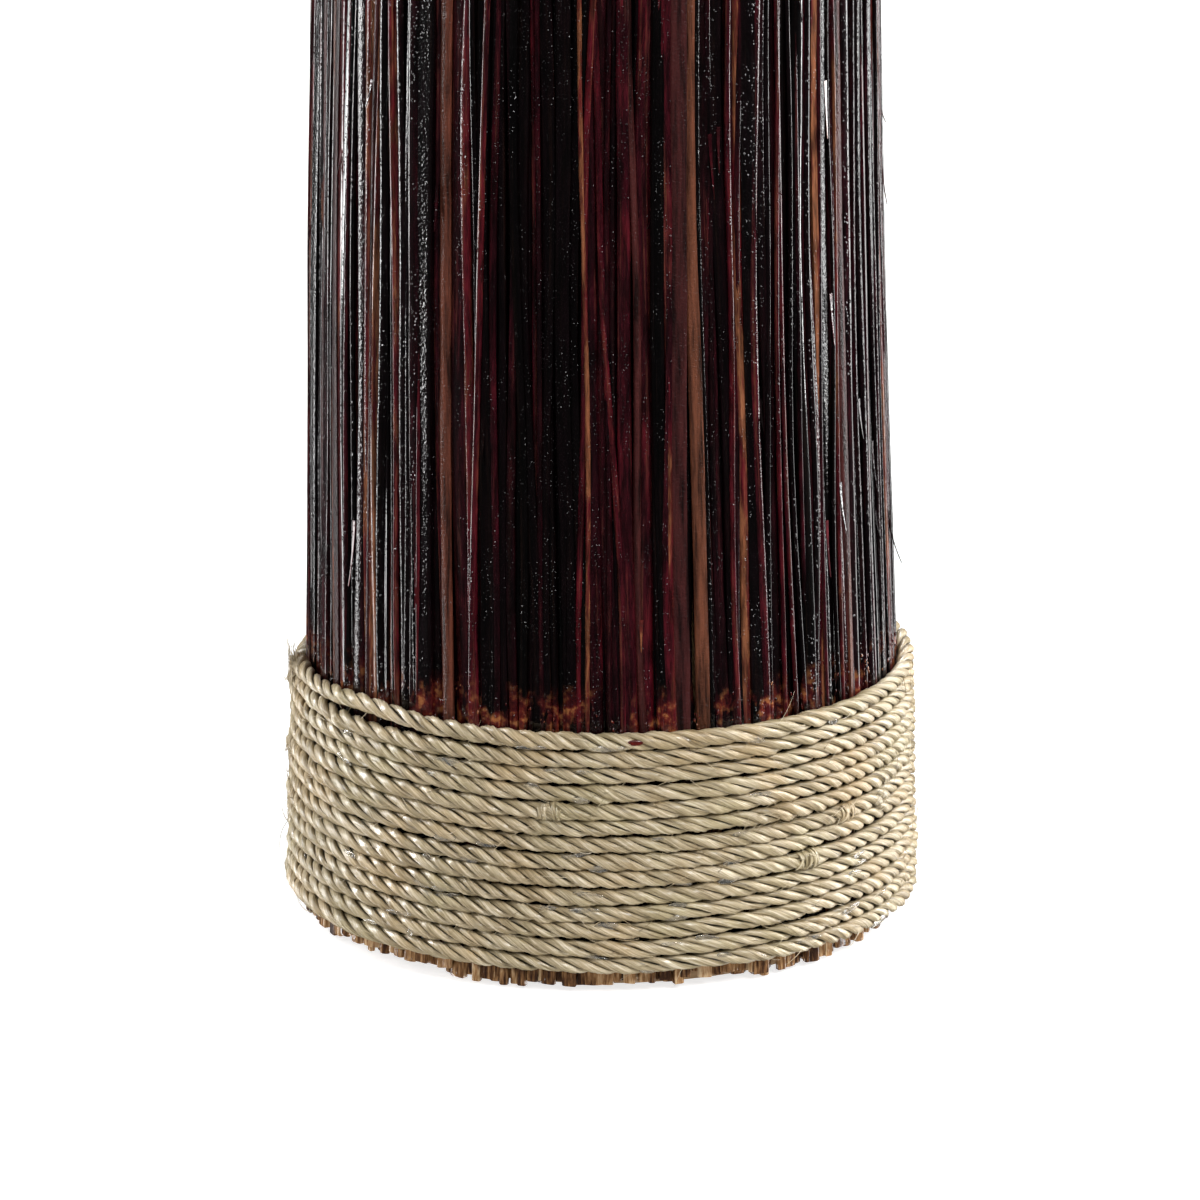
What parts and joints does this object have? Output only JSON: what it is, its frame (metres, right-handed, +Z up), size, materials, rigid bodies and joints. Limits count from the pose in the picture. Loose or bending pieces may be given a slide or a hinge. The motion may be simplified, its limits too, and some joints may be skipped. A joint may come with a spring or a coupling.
{
  "type": "tiki torch",
  "caption": "Free-standing tiki torch: a column of lacquered reeds bound with rope round a weighted core, with a lift-out oil canister, wick and hinged snuffer.",
  "frame": {"origin": "on the floor, at the column's axis: the bottom centre of the part's box", "axes": "+Z up the column; -Y is the front; the snuffer's hinge is on the -X side"},
  "size_m": [0.2228, 0.2228, 0.6844],
  "materials": {
    "reed": "glossy dark lacquer",
    "rope": "twisted natural fibre",
    "plywood": "bare plywood",
    "cement": "cast, rough",
    "zinc_steel": "zinc plated",
    "black_steel": "satin black heat-proof paint",
    "bare_steel": "tinned, slightly brushed",
    "brass": "satin brass",
    "rubber": "matte",
    "wick": "woven cotton"
  },
  "bodies": {
    "column": {"base_disc": "plywood", "ballast_block": "cement", "ballast_bolt": "zinc_steel", "ballast_washer": "zinc_steel", "ballast_nut": "zinc_steel", "core_tube": "plywood", "top_ring": "plywood", "reed_bundle_01": "reed", "reed_bundle_02": "reed", "reed_bundle_03": "reed", "reed_bundle_04": "reed", "reed_bundle_05": "reed", "reed_bundle_06": "reed", "reed_bundle_07": "reed", "reed_bundle_08": "reed", "reed_bundle_09": "reed", "reed_bundle_10": "reed", "reed_bundle_11": "reed", "reed_bundle_12": "reed", "reed_bundle_13": "reed", "reed_bundle_14": "reed", "reed_bundle_15": "reed", "reed_bundle_16": "reed", "reed_bundle_17": "reed", "reed_bundle_18": "reed", "reed_bundle_19": "reed", "reed_bundle_20": "reed", "reed_bundle_21": "reed", "reed_bundle_22": "reed", "reed_bundle_23": "reed", "reed_bundle_24": "reed", "base_rope": "rope", "top_rope": "rope", "burner_cup": "black_steel", "cup_screw_1": "zinc_steel", "cup_screw_2": "zinc_steel", "cup_screw_3": "zinc_steel", "cup_screw_4": "zinc_steel"},
    "canister": {"canister_can": "bare_steel", "canister_top": "bare_steel", "neck_gasket": "rubber"},
    "burner": {"burner_plate": "brass", "wick_tube": "brass", "hinge_bracket": "brass", "hinge_pin": "zinc_steel"},
    "collar": {"collar_ring": "brass"},
    "wick": {"wick": "wick"},
    "snuffer": {"snuffer_arm": "brass", "snuffer_cap": "brass", "snuffer_knob": "brass"}
  },
  "joints": [
    {"name": "canister_lift", "type": "slide", "parent": "column", "child": "canister", "axis": [0, 0, 1], "range_m": [0, 0.18]},
    {"name": "burner_lift", "type": "slide", "parent": "canister", "child": "burner", "axis": [0, 0, 1], "range_m": [0, 0.12]},
    {"name": "collar_turn", "type": "hinge", "parent": "burner", "child": "collar", "pos_m": [0, 0, 0.6157], "axis": [0, 0, 1], "range_deg": [0, 540]},
    {"name": "wick_raise", "type": "slide", "parent": "burner", "child": "wick", "axis": [0, 0, 1], "range_m": [-0.01, 0.004]},
    {"name": "snuffer_swing", "type": "hinge", "parent": "burner", "child": "snuffer", "pos_m": [-0.019, 0, 0.6477], "axis": [0, -1, 0], "range_deg": [0, 120]}
  ]
}
